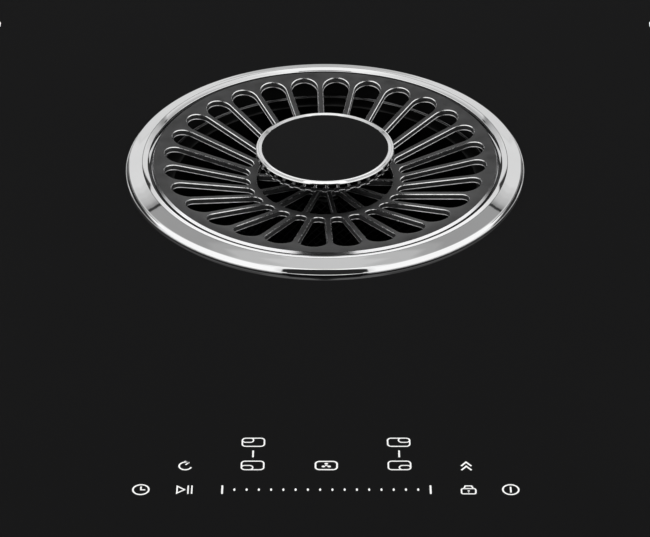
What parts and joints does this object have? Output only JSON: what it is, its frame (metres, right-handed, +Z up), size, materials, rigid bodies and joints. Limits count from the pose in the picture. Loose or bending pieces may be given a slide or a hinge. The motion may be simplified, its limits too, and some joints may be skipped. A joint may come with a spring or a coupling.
{
  "type": "downdraft induction cooktop",
  "caption": "Frameless black glass induction cooktop with a round dished air grille in the middle and a downdraft blower box below.",
  "frame": {"origin": "under the middle of the glass, on the plane that the blower box stands on", "axes": "+X to the cook's right, +Y to the back of the worktop, +Z up"},
  "size_m": [0.83, 0.515, 0.2235],
  "materials": {
    "black_glass": "gloss",
    "polished_steel": "polished",
    "cast_black": "satin enamel",
    "black_plastic": "matt moulded",
    "grey_plastic": "matt moulded",
    "seal_rubber": "matt",
    "galvanised_steel": "galvanised",
    "aluminium": "mill",
    "stainless": "brushed",
    "copper": "enamelled wire",
    "board_green": "solder mask",
    "mica": "matt"
  },
  "bodies": {
    "hob": {"glass_top": "black_glass", "worktop_seal": "seal_rubber", "glass_frame": "aluminium", "upper_case": "galvanised_steel", "trim_ring": "polished_steel", "trim_gasket": "seal_rubber", "trim_ring_nut": "black_plastic", "intake_well": "black_plastic", "coil_rear_left": "copper", "coil_front_left": "copper", "coil_rear_right": "copper", "coil_front_right": "copper", "coil_carrier_left": "aluminium", "coil_carrier_right": "aluminium", "mica_sheet_left": "mica", "mica_sheet_right": "mica", "power_board_left": "board_green", "power_board_right": "board_green", "heat_sink_left": "aluminium", "heat_sink_right": "aluminium", "cooling_fan_frame_left": "black_plastic", "cooling_fan_frame_right": "black_plastic", "touch_board": "board_green", "touch_board_bracket": "grey_plastic", "terminal_box": "black_plastic", "terminal_cover": "black_plastic", "terminal_block": "grey_plastic", "cable_gland": "black_plastic", "clamp_bracket_front_left": "stainless", "clamp_bracket_rear_left": "stainless", "clamp_bracket_front_right": "stainless", "clamp_bracket_rear_right": "stainless", "clamp_screw_front_left": "stainless", "clamp_screw_rear_left": "stainless", "clamp_screw_front_right": "stainless", "clamp_screw_rear_right": "stainless", "fan_box": "black_plastic", "fan_box_lid": "black_plastic", "volute": "grey_plastic", "inlet_ring": "black_plastic", "fan_motor": "stainless", "outlet_spigot": "black_plastic"},
    "filter": {"filter_basket": "stainless", "filter_mesh": "aluminium"},
    "vent_cover": {"grille": "cast_black", "cap_base": "black_plastic", "cap_bezel": "polished_steel", "cap_glass": "black_glass", "cap_stud": "stainless", "cap_nut": "stainless"},
    "tray": {"drip_tray": "black_plastic"},
    "blower_wheel": {"impeller": "grey_plastic"},
    "cooling_rotor_left": {"cooling_fan_rotor_left": "grey_plastic"},
    "cooling_rotor_right": {"cooling_fan_rotor_right": "grey_plastic"},
    "outlet_flap": {"backdraught_flap": "grey_plastic"}
  },
  "joints": [
    {"name": "filter_lift", "type": "slide", "parent": "hob", "child": "filter", "axis": [0, 0, 1], "range_m": [0, 0.16]},
    {"name": "grille_lift", "type": "slide", "parent": "filter", "child": "vent_cover", "axis": [0, 0, 1], "range_m": [0, 0.12]},
    {"name": "drip_tray_slide", "type": "slide", "parent": "hob", "child": "tray", "axis": [0, -1, 0], "range_m": [0, 0.2]},
    {"name": "impeller_spin", "type": "hinge", "parent": "hob", "child": "blower_wheel", "pos_m": [0.196, 0.03, 0.06], "axis": [0, 0, 1], "continuous": true},
    {"name": "cooling_fan_left_spin", "type": "hinge", "parent": "hob", "child": "cooling_rotor_left", "pos_m": [-0.285, 0.13, 0.165], "axis": [0, 0, 1], "continuous": true},
    {"name": "cooling_fan_right_spin", "type": "hinge", "parent": "hob", "child": "cooling_rotor_right", "pos_m": [0.285, 0.13, 0.165], "axis": [0, 0, 1], "continuous": true},
    {"name": "flap_swing", "type": "hinge", "parent": "hob", "child": "outlet_flap", "pos_m": [0.19, 0.2403, 0.0915], "axis": [1, 0, 0], "range_deg": [0, 80]}
  ]
}
